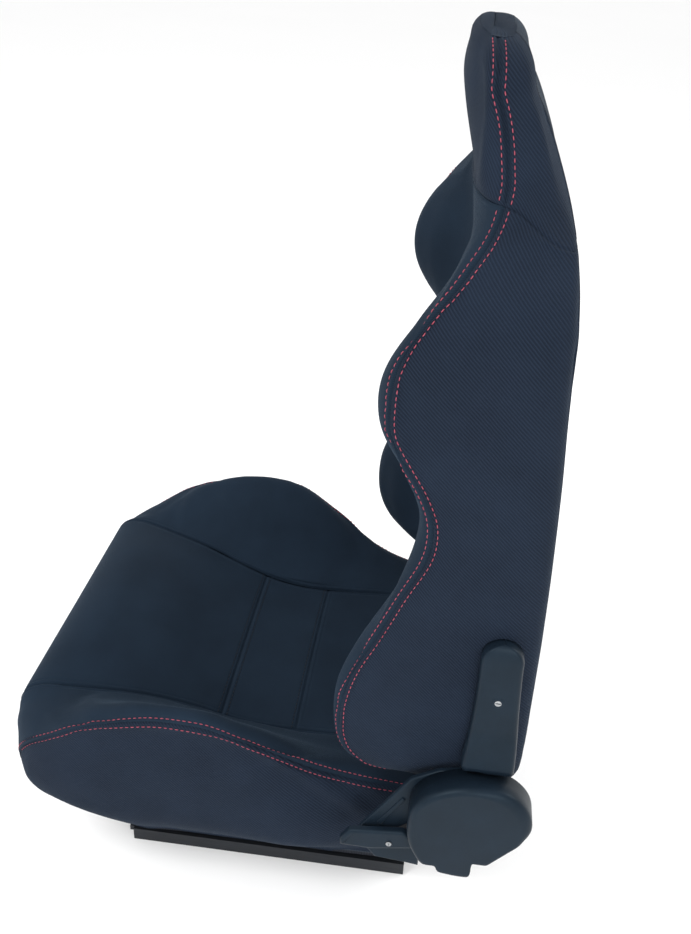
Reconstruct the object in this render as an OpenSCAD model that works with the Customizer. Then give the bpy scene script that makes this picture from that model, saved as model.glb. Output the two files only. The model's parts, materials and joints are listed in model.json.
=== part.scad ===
// Reclining racing seat on sliding floor rails.
// Frame: +Z up, the front of the seat faces -Y, the occupant's left side is +X.
// Origin: centre of the rails' mounting bolt pattern, on the rails' lower face.

/* [Floor rails] */
// Distance between the centre lines of the two rails
rail_spacing = 336; // [320:1:350]
// Length of each rail
rail_len = 306; // [290:1:330]
// Width of the lower rail
rail_w = 36; // [34:1:40]
// Height of the lower rail
rail_h = 16; // [15:0.5:18]
// Distance between the front and rear mounting bolts
bolt_pitch_y = 270; // [240:1:280]
// Radius of the mounting bolt holes
bolt_hole_r = 4.25; // [3.25:0.25:5.25]

/* [Recliner] */
// How far the recline axis is behind the middle of the rails
pivot_y = 207; // [200:1:212]
// Height of the recline axis
pivot_z = 183; // [178:1:188]
// Mean radius of the round recliner covers
cover_r = 60; // [59:0.5:60]
// Distance from the middle of the seat to the outer face of a round cover
cover_x = 285; // [280:1:290]

/* [Back frame] */
// Radius of the tubes in the backrest
back_tube_r = 12.5; // [10:0.5:13]
// Distance from the middle of the seat to each upright tube
back_tube_x = 192; // [185:1:193]

/* [Upholstery] */
// Half the width of the cushion and of the backrest
side_x = 245; // [244:0.5:245]
// Half the width of the middle panel between the bolsters
panel_x = 130; // [120:1:135]
// Height where the cushion foam rests on the springs
foam_floor = 84; // [84:1:90]

/* [Hidden] */
$fn = 64;
eps = 0.01;
rail_x = rail_spacing / 2;
rail_shift = -6;          // the upper rail sits this far forward of the lower rail
web = 2.5;                // wall of the lower rail
hat_top = 32;             // top of the upper rail
tab_t = 2.5;              // stop tab on the front end of the upper rail
tab_y = rail_shift - rail_len / 2 - tab_t;
bush_r = 9;               // recline bush, outside
bush_bore_r = 5.05;       // recline bush, inside
rod_r = 5;                // rod that links the two recliners
arm_x = 246.5;            // inner face of the recliner arm
arm_t = 3.5;
base_x = 251;             // inner face of the recliner base plate
base_t = 4;
lever_x = 256.5;          // inner face of the lever plate
lever_t = 3.5;
spring_r = 21;            // outside of the lever's return spring
front_tube_y = -170;
front_tube_z = 68;
base_bolt_y = [-120, 110]; // bolts between base side and upper rail
base_bolt_in = 6.6;       // how far those bolts sit inside the rail's centre line
rear_tube_y = 185;
rear_tube_z = 75;
pan_spring_x = [-105, -35, 35, 105];
back_spring_x = [-80, 0, 80];
hanger_x = 204;           // inner face of the recliner hangers on the rear tube
release_y = -30;          // axis of the slide release bar
release_z = 46;
arm_bolt_z = [292, 364];  // heights of the bolts that hold a recliner arm
arm_bolt_y = 218;
spacer_x = 201;           // inner end of the spacers welded to the upright tubes
seam_gap = 0.5;

STEEL = [0.12, 0.12, 0.13];
ZINC = [0.62, 0.62, 0.60];
PLASTIC = [0.06, 0.065, 0.075];
FABRIC = [0.07, 0.085, 0.11];
SCREW = [0.75, 0.75, 0.75];

// ---------- helpers ----------

// Builds the left part as drawn, or its mirror image on the right.
module on_side(s) {
    if (s > 0) children();
    else mirror([1, 0, 0]) children();
}

module both_sides() {
    for (s = [1, -1]) on_side(s) children();
}

// Extrudes a Y-Z outline along +X from x0.
module plate_x(x0, t) {
    translate([x0, 0, 0]) rotate([90, 0, 90]) linear_extrude(t) children();
}

module rod_x(x0, x1, y, z, r) {
    translate([x0, y, z]) rotate([0, 90, 0]) cylinder(r = r, h = x1 - x0);
}

// A round bar from one point to another, run on past its end to fill the next bend.
module bar(a, b, r, past = 0) {
    d = b - a;
    translate(a) rotate([0, acos(d[2] / norm(d)), atan2(d[1], d[0])])
        cylinder(r = r, h = norm(d) + past);
}

// Smooth curve through [position, value] knots.
function knot(k, u, i = 0) = (i >= len(k) - 2 || u < k[i + 1][0]) ? i : knot(k, u, i + 1);
function slope(k, i) = i <= 0 || i >= len(k) - 1 ? 0
    : (k[i + 1][1] - k[i - 1][1]) / (k[i + 1][0] - k[i - 1][0]);
function hermite(a, b, ma, mb, h, t) =
    a * (2 * t ^ 3 - 3 * t ^ 2 + 1) + h * ma * (t ^ 3 - 2 * t ^ 2 + t)
    + b * (3 * t ^ 2 - 2 * t ^ 3) + h * mb * (t ^ 3 - t ^ 2);
function curve(k, u) = let (i = knot(k, u), h = k[i + 1][0] - k[i][0], t = (u - k[i][0]) / h)
    hermite(k[i][1], k[i + 1][1], slope(k, i), slope(k, i + 1), h, min(max(t, 0), 1));

// Closed solid through a row of closed outlines with the same number of points.
module loft(rings) {
    n = len(rings[0]);
    m = len(rings);
    points = [for (r = rings) for (p = r) p];
    sides = [for (j = [0 : m - 2]) for (i = [0 : n - 1]) let (k = (i + 1) % n)
        each [[j * n + i, j * n + k, (j + 1) * n + k], [j * n + i, (j + 1) * n + k, (j + 1) * n + i]]];
    first = [for (i = [n - 1 : -1 : 0]) i];
    last = [for (i = [0 : n - 1]) (m - 1) * n + i];
    polyhedron(points = points, faces = concat(sides, [first, last]), convexity = 6);
}

// ---------- floor rails ----------

module lower_rail() {
    w = rail_w / 2;
    slot = 9;
    lip = 2.3;
    color(STEEL) translate([rail_x, 0, 0]) difference() {
        rotate([90, 0, 0]) linear_extrude(rail_len, center = true)
            polygon([[-w, 0], [w, 0], [w, rail_h], [slot, rail_h], [slot, rail_h - lip],
                [w - web, rail_h - lip], [w - web, web], [-w + web, web], [-w + web, rail_h - lip],
                [-slot, rail_h - lip], [-slot, rail_h], [-w, rail_h]]);
        for (y = [-1, 1]) translate([0, y * bolt_pitch_y / 2, -1]) cylinder(r = bolt_hole_r, h = 6);
        for (i = [-9 : 9]) translate([-slot - 5.5, i * 12 - 2.5, rail_h - 3]) cube([3.5, 5, 4]);
    }
}

module upper_rail() {
    foot = 12;
    neck = 7;
    hat = 12;
    color(STEEL) translate([rail_x, rail_shift, 0]) difference() {
        union() {
            rotate([90, 0, 0]) linear_extrude(rail_len, center = true) difference() {
                polygon([[-foot, 6.6], [foot, 6.6], [foot, 13.3], [neck, 13.3], [neck, 19], [hat, 19],
                    [hat, hat_top], [-hat, hat_top], [-hat, 19], [-neck, 19], [-neck, 13.3], [-foot, 13.3]]);
                polygon([[-9.8, 21.5], [9.8, 21.5], [9.8, 29.5], [-9.8, 29.5]]);
            }
            translate([-hat, tab_y - rail_shift, 17]) cube([2 * hat, tab_t, 19]);
        }
        for (y = base_bolt_y) translate([-base_bolt_in, y - rail_shift, 28]) cylinder(r = 3.2, h = 6);
    }
}

module roller_cage() {
    color(ZINC) translate([rail_x, rail_shift / 2, 4.5]) union() {
        translate([-11, -75, -0.5]) cube([22, 150, 1]);
        for (y = [-60, 0, 60]) translate([-10, y, 0]) rotate([0, 90, 0]) cylinder(r = 1.9, h = 20);
    }
}

// ---------- seat base ----------

module base_side() {
    color(STEEL) difference() {
        union() {
            plate_x(rail_x - 1.5, 3) polygon([[-195, hat_top], [147, hat_top], [206, 58], [206, 92],
                [164, 92], [120, 70], [-140, 70], [-152, 84], [-188, 84], [-195, 76]]);
            translate([rail_x - 12, -150, hat_top]) cube([12, 290, 3]);
        }
        rod_x(rail_x - 5, rail_x + 5, rear_tube_y, rear_tube_z, 12.7);
        for (y = [-100, -40, 20, 80]) rod_x(rail_x - 5, rail_x + 5, y, 52, 9);
        for (y = base_bolt_y) translate([rail_x - base_bolt_in, y, hat_top - 1]) cylinder(r = 3.2, h = 6);
        translate([rail_x - 2, tab_y - 0.4, hat_top - 1]) cube([4, tab_t + 0.8, 5.4]);
    }
}

module base_bolts() {
    color(ZINC) both_sides() for (y = base_bolt_y) translate([rail_x - base_bolt_in, y, 0]) union() {
        translate([0, 0, hat_top + 3]) rotate(30) cylinder(r = 5.6, h = 4, $fn = 6);
        translate([0, 0, 25]) cylinder(r = 3, h = 11);
    }
}

module front_cross_tube() {
    color(STEEL) difference() {
        rod_x(-rail_x + 1.5, rail_x - 1.5, front_tube_y, front_tube_z, 11);
        rod_x(-rail_x, rail_x, front_tube_y, front_tube_z, 9);
    }
}

module rear_cross_tube() {
    reach = hanger_x + 6;
    color(STEEL) difference() {
        rod_x(-reach, reach, rear_tube_y, rear_tube_z, 12.5);
        rod_x(-reach - 1, reach + 1, rear_tube_y, rear_tube_z, 10.5);
    }
}

// One flat serpentine spring: straight runs joined by half rings.
module serpentine(runs, pitch, half, wire) {
    for (i = [0 : runs - 1]) translate([-half, i * pitch - wire / 2]) square([2 * half, wire]);
    for (i = [0 : runs - 2]) translate([(i % 2 == 0 ? 1 : -1) * half, (i + 0.5) * pitch])
        intersection() {
            difference() {
                circle(r = (pitch + wire) / 2);
                circle(r = (pitch - wire) / 2);
            }
            translate([i % 2 == 0 ? 0 : -pitch, -pitch]) square([pitch, 2 * pitch]);
        }
}

module pan_springs() {
    color(ZINC) for (x = pan_spring_x) translate([x, front_tube_y + 14, 78])
        linear_extrude(3.5) serpentine(14, 25, 16, 3.5);
}

module spring_clips() {
    color(STEEL) for (x = pan_spring_x) {
        translate([x - 6, front_tube_y, front_tube_z + 10.6]) cube([12, 17, 1.6]);
        translate([x - 6, front_tube_y + 14 + 323, 81.2]) cube([12, 12, 1.6]);
    }
}

// Plate beside the recline axis, bent inwards below to hang on the rear tube.
module recliner_base() {
    window = [pivot_y - 9.5, pivot_z - 37];
    shelf_z = 114;
    color(STEEL) union() {
        plate_x(base_x, base_t) difference() {
            union() {
                translate([pivot_y, pivot_z]) circle(r = 34);
                polygon([[166, shelf_z], [212, shelf_z], [249, 140], [249, 160], [238, 172], [178, 172],
                    [166, 158]]);
            }
            translate([pivot_y, pivot_z]) circle(r = bush_r + 0.05);
            translate(window) circle(r = 9);
            translate([pivot_y + 31, pivot_z - 33]) circle(r = 3.05);
        }
        rod_x(base_x + base_t - 1, lever_x + 14, pivot_y, pivot_z + spring_r + 3.2, 3);
        translate([hanger_x, 166, shelf_z]) cube([base_x + base_t - hanger_x, 40, base_t]);
        difference() {
            plate_x(hanger_x, base_t)
                polygon([[166, shelf_z + base_t], [166, 64], [206, 64], [206, shelf_z + base_t]]);
            rod_x(hanger_x - 1, hanger_x + 5, rear_tube_y, rear_tube_z, 12.55);
        }
    }
}

module recline_bush() {
    color(ZINC) difference() {
        union() {
            rod_x(arm_x - 0.5, lever_x - 0.3, pivot_y, pivot_z, bush_r);
            rod_x(base_x + base_t, lever_x - 0.3, pivot_y, pivot_z, bush_r + 3);
        }
        rod_x(arm_x - 5, lever_x + 5, pivot_y, pivot_z, bush_bore_r);
    }
}

// Flat spiral that returns the lever: its inner end grips the link rod, its outer end the base's stud.
function spiral(turns, r0, r1, n) = [for (i = [0 : n]) let (t = i / n, r = r0 + (r1 - r0) * t)
    [r * cos(360 * turns * t), r * sin(360 * turns * t)]];
module lever_spring() {
    steps = 78;
    inner = spiral(3.25, rod_r + 0.2, spring_r - 1.2, steps);
    outer = spiral(3.25, rod_r + 1.4, spring_r, steps);
    color(ZINC) plate_x(lever_x + 5, 8) translate([pivot_y, pivot_z])
        polygon(concat(inner, [for (i = [steps : -1 : 0]) outer[i]]));
}

// Round outer cover: a shallow drum with a rounded rim, fuller above and behind the recline axis,
// cut flat below. Its outline is a share of cover_r by angle round the axis.
cover_shape = [[-180, 0.94], [-100, 0.93], [-50, 0.99], [-10, 1.03], [15, 1.03], [40, 1.08], [60, 1.085],
    [85, 1.03], [115, 1.0], [150, 1.0], [180, 0.94]];
function cover_ring(inset) = [for (a = [-180 : 5 : 175]) let (r = cover_r * curve(cover_shape, a) - inset)
    [pivot_y + r * cos(a), pivot_z + r * sin(a)]];

module recliner_cover() {
    wall = 2.4;
    rim = 6;
    inner_x = base_x + base_t + 1;
    rim_steps = [for (a = [0 : 15 : 90]) [cover_x - rim + rim * sin(a), rim - rim * cos(a)]];
    color(PLASTIC) difference() {
        loft([for (step = concat([[inner_x, 0]], rim_steps))
            [for (p = cover_ring(step[1])) [step[0], p[0], p[1]]]]);
        plate_x(inner_x - 1, cover_x - wall - inner_x + 1) polygon(cover_ring(wall));
        plate_x(inner_x - 1, 50) polygon([[213, 147], [230, 147], [272, 197], [275, 110],
            [213, 110]]);
        plate_x(inner_x - 1, 50) polygon([[130, 137.5], [184, 137.5], [186, 110], [130, 110]]);
        translate([inner_x - 1, pivot_y - cover_r - 4, pivot_z - 40]) cube([lever_t + 2.4, 28, 56]);
    }
}

// Skirt that fills the corner between cushion, backrest and round cover, outside the arm's plane.
// front_y is where its front corner ends.
module recliner_shroud(front_y) {
    shroud_x = arm_x + arm_t + 0.3;
    color(PLASTIC) difference() {
        union() {
            plate_x(shroud_x, 4.5) polygon([[front_y, 145], [148, 211], [156, 214], [166, 210],
                [192, 233], [197, 226], [181, 202], [165.7, 176], [165.7, 101], [153, 103],
                [front_y + 18, 106], [front_y + 11, 115]]);
            plate_x(shroud_x + 4, 1.8) polygon([[front_y + 17, 157], [144, 194],
                [147, 192], [front_y + 22, 155]]);
        }
        rod_x(shroud_x - 1, shroud_x + 6, pivot_y, pivot_z, 44);
    }
}

module pawl_pins() {
    color(ZINC) both_sides() union() {
        rod_x(arm_x - 0.5, base_x + base_t, pivot_y + 31, pivot_z - 33, 3);
        rod_x(base_x + base_t, base_x + base_t + 1, pivot_y + 31, pivot_z - 33, 5);
    }
}

// ---------- recline lock ----------

tooth_r = 30;             // tip radius of the toothed sector
pawl_clear = 0.6;         // the pawl is drawn just clear of the tooth tips

module locking_pawl() {
    stud = [pivot_y + 35 * cos(-105), pivot_z + 35 * sin(-105)];
    color(ZINC) union() {
        plate_x(arm_x, arm_t) difference() {
            union() {
                intersection() {
                    translate([pivot_y, pivot_z]) difference() {
                        circle(r = 40);
                        circle(r = tooth_r + pawl_clear);
                    }
                    polygon([[pivot_y, pivot_z], [pivot_y - 18, pivot_z - 50], [pivot_y + 25, pivot_z - 50],
                        [pivot_y + 45, pivot_z - 50]]);
                }
                polygon([[pivot_y + 17, pivot_z - 29], [pivot_y + 31, pivot_z - 27],
                    [pivot_y + 31, pivot_z - 39], [pivot_y + 8, pivot_z - 38.6]]);
                translate([pivot_y + 31, pivot_z - 33]) circle(r = 7);
            }
            translate([pivot_y + 31, pivot_z - 33]) circle(r = 3.06);
        }
        rod_x(arm_x + arm_t - 0.5, lever_x + lever_t, stud[0], stud[1], 2.5);
    }
}

module lever_hub() {
    difference() {
        union() {
            circle(r = 14);
            rotate(-75) translate([0, -6]) square([31, 12]);
        }
        circle(r = rod_r);
    }
}

module recline_lever_arm() {
    color(STEEL) plate_x(lever_x, lever_t) translate([pivot_y, pivot_z]) union() {
        lever_hub();
        polygon([[-10, 8], [-50, -16], [-64, -28], [-108, -35], [-108, -46], [-60, -41], [-48, -34],
            [-8, -11]]);
    }
}

module release_cam_right() {
    color(STEEL) on_side(-1) plate_x(lever_x, lever_t) translate([pivot_y, pivot_z]) lever_hub();
}

module recline_link_rod() {
    reach = lever_x + 14;
    color(ZINC) rod_x(-reach, reach, pivot_y, pivot_z, rod_r);
}

// Paddle that the occupant lifts, with a bevelled outer face.
module recline_handle() {
    x0 = lever_x + lever_t;
    outline = [[87, 131.5], [87, 139], [95, 151.5], [100, 153], [147, 159], [151.5, 157], [161.5, 141],
        [157, 137.5], [117, 130]];
    face = [[90, 134], [90, 139], [97, 148.5], [101, 150], [146, 156], [149.5, 154.5], [158, 141.5],
        [155.5, 140], [117, 133]];
    color(PLASTIC) difference() {
        hull() {
            plate_x(x0, 5) polygon(outline);
            plate_x(x0 + 5, 3) polygon(face);
        }
        rod_x(x0 + 5.5, x0 + 10, 135, 142, 3.4);
    }
}

module handle_screw() {
    x0 = lever_x + lever_t + 5.5;
    color(SCREW) difference() {
        rod_x(x0, x0 + 2.4, 135, 142, 2.8);
        translate([x0 + 1.4, 134.6, 140]) cube([3, 0.8, 4]);
    }
}

// ---------- slide release ----------

module release_brackets() {
    color(STEEL) both_sides() difference() {
        translate([rail_x - 26, release_y - 8, hat_top]) union() {
            cube([14, 16, 3]);
            cube([3, 16, 22]);
        }
        rod_x(rail_x - 30, rail_x - 20, release_y, release_z, 3.1);
    }
}

module slide_release_bar() {
    r = 4;
    x = rail_x - 32;
    front_y = -150;
    color(STEEL) union() {
        both_sides() {
            bar([x, release_y + 5, release_z], [x, front_y, release_z], r);
            rod_x(x, rail_x - 20, release_y, release_z, 3);
        }
        rod_x(-x - 5, x + 5, front_y, release_z, r + 0.4);
    }
}

// Toothed latch, drawn just clear of the windows in the lower rail's inner lip.
module slide_latch() {
    color(ZINC) union() {
        translate([rail_x - 20.5, release_y - 66, release_z - 4]) cube([3.5, 70, 8]);
        translate([rail_x - 20.5, release_y - 66, rail_h + 0.6]) cube([3.5, 34, release_z - rail_h]);
        for (i = [0 : 2]) translate([rail_x - 17.5, release_y - 65.5 + 12 * i, rail_h + 0.6])
            cube([5.2, 5, 1.8]);
        rod_x(rail_x - 20.5, rail_x - 17, release_y, release_z, 6);
    }
}

// ---------- upholstery ----------

// Backrest outlines by height: middle surface, bolster crest, side face and rear face.
back_mid = [[160, 176], [175, 166], [200, 157], [230, 150], [300, 146], [380, 148], [480, 156], [600, 164],
    [680, 160], [740, 150], [781, 139], [805, 134], [830, 131], [846, 134], [856, 142], [861, 152]];
back_crest = [[188, 165], [194, 142], [202, 112], [217, 88], [240, 74], [262, 69], [285, 68], [310, 71],
    [350, 83], [400, 106], [440, 120], [470, 127], [495, 127], [520, 120], [545, 106], [570, 95],
    [600, 92], [630, 95], [665, 108], [700, 130], [730, 150], [760, 150], [800, 146], [830, 146],
    [850, 152], [861, 156]];
back_side = [[188, 236], [210, 243], [260, side_x], [600, side_x], [650, 242], [685, 226], [715, 196],
    [740, 166], [765, 146], [790, 136], [830, 122], [846, 106], [856, 82], [861, 60]];
back_rear = [[188, 244], [215, 251], [350, 251], [433, 248], [531, 244], [603, 242], [660, 241],
    [700, 238], [734, 231], [777, 216], [823, 196], [845, 184], [856, 174], [861, 164]];
head_z = 736;             // seam between head and torso
tube_depth = 36;          // room behind the pads for the frame
shoulder_z = 640;         // above this the foam is moulded round the frame

function spread(z0, z1, n) = [for (i = [0 : n]) z0 + (z1 - z0) * i / n];

// Half outline of one bolster at height z, from the inner seam round to the back.
function bolster_ring(z, x_in) = let (
    s = curve(back_side, z), c = curve(back_crest, z), m = curve(back_mid, z), r = curve(back_rear, z),
    cx = max(s - 24, x_in + 12), deep = max(r - tube_depth, c + 20),
    step_x = z < shoulder_z ? back_tube_x + 16 : x_in + 2)
    [[x_in, m], [x_in + 0.35 * (cx - x_in), m + 0.25 * (c - m)],
    [x_in + 0.7 * (cx - x_in), m + 0.78 * (c - m)], [cx - 8, c + 1.5], [cx + 4, c], [cx + 15, c + 5],
    [s - 2, c + 16], [s, c + 30], [s, r - 16],
    [s - 4, r - 5], [s - 15, r], [step_x, r], [step_x, deep], [x_in, deep]];

module back_bolster() {
    color(FABRIC) difference() {
        loft([for (z = concat(spread(189, shoulder_z - 1, 30), spread(shoulder_z, head_z - 1, 7)))
            [for (p = bolster_ring(z, panel_x + seam_gap)) [p[0], p[1], z]]]);
        for (z = arm_bolt_z) rod_x(180, 260, arm_bolt_y, z, 8.5);
    }
}

module back_centre_pad() {
    x = panel_x - seam_gap;
    rod_front = pivot_y - rod_r - 3;
    color(FABRIC) loft([for (z = concat([160, 167, 176, 185, 193.5], spread(194.5, head_z - 1, 20)))
        let (m = curve(back_mid, z), r = z < 194 ? rod_front : curve(back_rear, z) - tube_depth)
        [[-x, m, z], [-x / 2, m + 3, z], [0, m + 4, z], [x / 2, m + 3, z], [x, m, z],
        [x, r, z], [-x, r, z]]]);
}

// Full outline of the head at height z.
function head_ring(z) = let (
    s = curve(back_side, z), c = curve(back_crest, z), m = curve(back_mid, z), r = curve(back_rear, z),
    half = [[0, m], [s * 0.5, m + 0.2 * (c - m)], [s * 0.8, c], [s - 4, c + 0.18 * (r - c)],
        [s, c + 0.4 * (r - c)], [s - 1, r - 0.3 * (r - c)], [s * 0.9, r - 0.06 * (r - c)], [s * 0.6, r]])
    concat([for (p = half) [p[0], p[1], z]], [for (i = [7 : -1 : 1]) [-half[i][0], half[i][1], z]]);

module head_pad() {
    color(FABRIC) loft([for (z = concat(spread(head_z, 846, 12), [852, 857, 861])) head_ring(z)]);
}

module back_rear_panel() {
    t = 3;
    color(FABRIC) loft([for (z = concat(spread(212, shoulder_z - 1.5, 14), spread(shoulder_z, head_z - 1, 5)))
        let (r = curve(back_rear, z), x = z < shoulder_z ? back_tube_x + 15 : panel_x)
        [[-x, r - t, z], [x, r - t, z], [x, r, z], [-x, r, z]]]);
}

// Cushion outlines by distance from front to rear.
cushion_mid = [[-270, 150], [-262, 180], [-250, 194], [-235, 203], [-216, 207], [-190, 203], [-152, 190],
    [-110, 168], [-64, 150], [-20, 143], [20, 142], [82, 145], [120, 148], [160, 148]];
crest_x = [[-262, 150], [-244, 186], [-222, 200], [-200, 208], [-139, 221], [-81, 224], [-43, 224],
    [-11, 219], [20, 211], [57, 203], [109, 194], [150, 190]];
crest_z = [[-262, 170], [-244, 192], [-222, 206], [-200, 219], [-139, 244], [-81, 250], [-43, 246],
    [-11, 233], [20, 209], [57, 182], [109, 161], [150, 152]];
cushion_side = [[-262, 182], [-250, 214], [-235, 229], [-210, 239], [-180, 243], [-140, side_x],
    [-20, side_x], [20, 238], [60, 226], [110, 214], [150, 212]];
cushion_floor = [[-262, 142], [-256, 128], [-245, 112], [-225, 96], [-200, 82], [-170, 66], [-140, 52],
    [-110, 48], [150, 48]];

function cushion_ring(y) = let (
    s = curve(cushion_side, y), cx = curve(crest_x, y), cz = curve(crest_z, y), m = curve(cushion_mid, y),
    f = curve(cushion_floor, y), base = max(foam_floor, f + 1), x0 = panel_x + seam_gap,
    step_x = rail_x + 8, d = cz - f)
    [[x0, y, base], [step_x, y, base], [step_x, y, f], [s - 38, y, f], [s - 18, y, f + 0.10 * d],
    [s - 5, y, f + 0.28 * d], [s, y, f + 0.5 * d], [s - 1, y, f + 0.75 * d],
    [cx + 0.6 * (s - cx), y, cz - 0.07 * d], [cx, y, cz],
    [cx - 0.25 * (cx - x0), y, cz - 0.12 * (cz - m) - 1],
    [x0 + 0.35 * (cx - x0), y, m + 0.35 * (cz - m)], [x0, y, m]];

module cushion_bolster() {
    color(FABRIC) loft([for (i = [0 : 32]) cushion_ring(-261 + i * (150 + 261) / 32)]);
}

module cushion_centre_pad() {
    x = panel_x - seam_gap;
    nose = [[-270, 146], [-262, 126], [-250, 110], [-225, 96], [-190, foam_floor]];
    color(FABRIC) loft([for (i = [0 : 30]) let (y = -269 + i * (160 + 269) / 30,
        m = curve(cushion_mid, y), b = max(foam_floor, curve(nose, min(y, -190))))
        [[-x, y, b], [x, y, b], [x, y, m], [x / 2, y, m + 3], [0, y, m + 4], [-x / 2, y, m + 3],
        [-x, y, m]]]);
}

// ---------- backrest frame ----------

tube_y = 230;             // centre of the upright tubes at the bottom
crossbar_y = 222;         // centre of the upper crossbar and of the tubes' top ends
crossbar_x = back_tube_x - back_tube_r - 0.3;
upper_bar_z = 580;
lower_bar_z = 240;

module back_side_tube() {
    color(STEEL) bar([back_tube_x, tube_y, 222], [back_tube_x, crossbar_y, 612], back_tube_r);
}

// Bent tube that carries the head, welded to the upper crossbar and leaning forwards.
module head_hoop_tube() {
    r = 11;
    half = 90;
    bend = 42;
    rise = 192;
    color(STEEL) translate([0, crossbar_y, upper_bar_z]) rotate([9.2, 0, 0]) union() {
        both_sides() {
            translate([half, 0, 9.5]) cylinder(r = r, h = rise - bend - 9.5);
            translate([half - bend, 0, rise - bend]) rotate([90, 0, 0])
                rotate_extrude(angle = 90) translate([bend, 0]) circle(r = r);
        }
        rod_x(bend - half, half - bend, 0, rise, r);
    }
}

module back_lower_crossbar() {
    color(STEEL) rod_x(-crossbar_x, crossbar_x, tube_y, lower_bar_z, 9);
}

module back_upper_crossbar() {
    color(STEEL) rod_x(-crossbar_x, crossbar_x, crossbar_y, upper_bar_z, 9);
}

module back_springs() {
    color(ZINC) for (x = back_spring_x) translate([x, 221, 262]) rotate([90, 0, 0])
        linear_extrude(3.5) serpentine(13, 24, 22, 3.5);
}

module back_spring_clips() {
    color(STEEL) for (x = back_spring_x) {
        translate([x - 6, 220.6, 240]) cube([12, 1.6, 24]);
        translate([x - 6, 214, 548]) cube([12, 1.6, 32]);
    }
}

// One tooth of the sector, centred on angle a.
function toothed(a) = [for (p = [[tooth_r - 3, -4], [tooth_r, -1.8], [tooth_r, 1.8], [tooth_r - 3, 4]])
    [pivot_y + p[0] * cos(a + p[1]), pivot_z + p[0] * sin(a + p[1])]];

module recliner_arm() {
    color(STEEL) plate_x(arm_x, arm_t) difference() {
        polygon(concat([for (a = [-165 : 12 : -21]) each toothed(a)],
            [[232.5, 190], [236, 262], [233, 360], [218, 382], [203.5, 360], [202.5, 262], [181.5, 190]]));
        translate([pivot_y, pivot_z]) circle(r = bush_r + 0.06);
        for (z = arm_bolt_z) translate([arm_bolt_y, z]) circle(r = 4.05);
    }
}

// Moulded cover over the recliner arm, open towards the seat.
module arm_cover() {
    wall = 2.2;
    back = 246;
    face = 261;
    top_z = 372;
    top_r = 18.75;
    color(PLASTIC) difference() {
        union() {
            plate_x(back, face - back) polygon([[197.5, 250], [199, 300], [arm_bolt_y - top_r, top_z],
                [arm_bolt_y + top_r, top_z], [238.5, 330], [243, 250]]);
            translate([back, arm_bolt_y, top_z]) rotate([0, 90, 0]) rotate_extrude()
                polygon([[0, 0], [top_r, 0], [top_r, 10], [top_r - 1, 13], [top_r - 4, face - back],
                    [0, face - back]]);
            plate_x(face - eps, 4) polygon([[198.5, 262], [199, 290], [240, 290], [241.5, 262]]);
        }
        plate_x(back - 6, face - wall - back + 6) union() {
            polygon([[197.5 + wall, 240], [198.8 + wall, 300], [arm_bolt_y - top_r + wall, top_z],
                [arm_bolt_y + top_r - wall, top_z], [238.5 - wall, 330], [243 - wall, 240]]);
            translate([arm_bolt_y, top_z]) circle(r = top_r - wall);
        }
        rod_x(back - 6, 290, pivot_y, pivot_z, cover_r + 8);
        rod_x(face - 2.5, face + 5, 219, 330, 5);
    }
}

module arm_cover_screws() {
    color(SCREW) both_sides() difference() {
        rod_x(257.5, 260.5, 219, 330, 3);
        translate([259.6, 216.6, 329.5]) cube([3, 4.8, 1]);
    }
}

module arm_bolts() {
    color(ZINC) both_sides() for (z = arm_bolt_z) union() {
        rod_x(206, arm_x + arm_t + eps, arm_bolt_y, z, 4);
        rod_x(arm_x + arm_t, arm_x + arm_t + 5, arm_bolt_y, z, 7);
    }
}

module arm_spacers() {
    color(ZINC) both_sides() for (z = arm_bolt_z) difference() {
        rod_x(spacer_x, arm_x, arm_bolt_y, z, 8);
        rod_x(spacer_x - 1, arm_x + 1, arm_bolt_y, z, 4.05);
    }
}

// ---------- nodes ----------

lower_rail();  // lower_rail_left
on_side(-1) lower_rail();  // lower_rail_right
roller_cage();  // roller_cage_left
on_side(-1) roller_cage();  // roller_cage_right
upper_rail();  // upper_rail_left
on_side(-1) upper_rail();  // upper_rail_right
base_side();  // base_side_left
on_side(-1) base_side();  // base_side_right
front_cross_tube();
rear_cross_tube();
pan_springs();
spring_clips();
base_bolts();
recliner_base();  // recliner_base_left
on_side(-1) recliner_base();  // recliner_base_right
recline_bush();  // recline_bush_left
on_side(-1) recline_bush();  // recline_bush_right
lever_spring();  // lever_spring_left
on_side(-1) lever_spring();  // lever_spring_right
recliner_cover();  // recliner_cover_left
on_side(-1) recliner_cover();  // recliner_cover_right
recliner_shroud(104);  // recliner_shroud_left
on_side(-1) recliner_shroud(127);  // recliner_shroud_right
pawl_pins();
locking_pawl();  // locking_pawl_left
on_side(-1) locking_pawl();  // locking_pawl_right
recline_link_rod();
recline_lever_arm();
recline_handle();
handle_screw();
release_cam_right();
slide_release_bar();
slide_latch();  // slide_latch_left
on_side(-1) slide_latch();  // slide_latch_right
release_brackets();
cushion_centre_pad();
cushion_bolster();  // cushion_bolster_left
on_side(-1) cushion_bolster();  // cushion_bolster_right
back_side_tube();  // back_side_tube_left
on_side(-1) back_side_tube();  // back_side_tube_right
head_hoop_tube();
back_lower_crossbar();
back_upper_crossbar();
back_springs();
back_spring_clips();
recliner_arm();  // recliner_arm_left
on_side(-1) recliner_arm();  // recliner_arm_right
arm_cover();  // arm_cover_left
on_side(-1) arm_cover();  // arm_cover_right
arm_cover_screws();
arm_bolts();
arm_spacers();
back_centre_pad();
back_bolster();  // back_bolster_left
on_side(-1) back_bolster();  // back_bolster_right
head_pad();
back_rear_panel();
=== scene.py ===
"""Reclining racing seat: the looks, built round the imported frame.

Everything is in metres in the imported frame: +Z up, the front of the seat faces -Y, the
occupant's left is +X. Outlines are written in millimetres and scaled when a mesh is made.
"""
import json
import math

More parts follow.
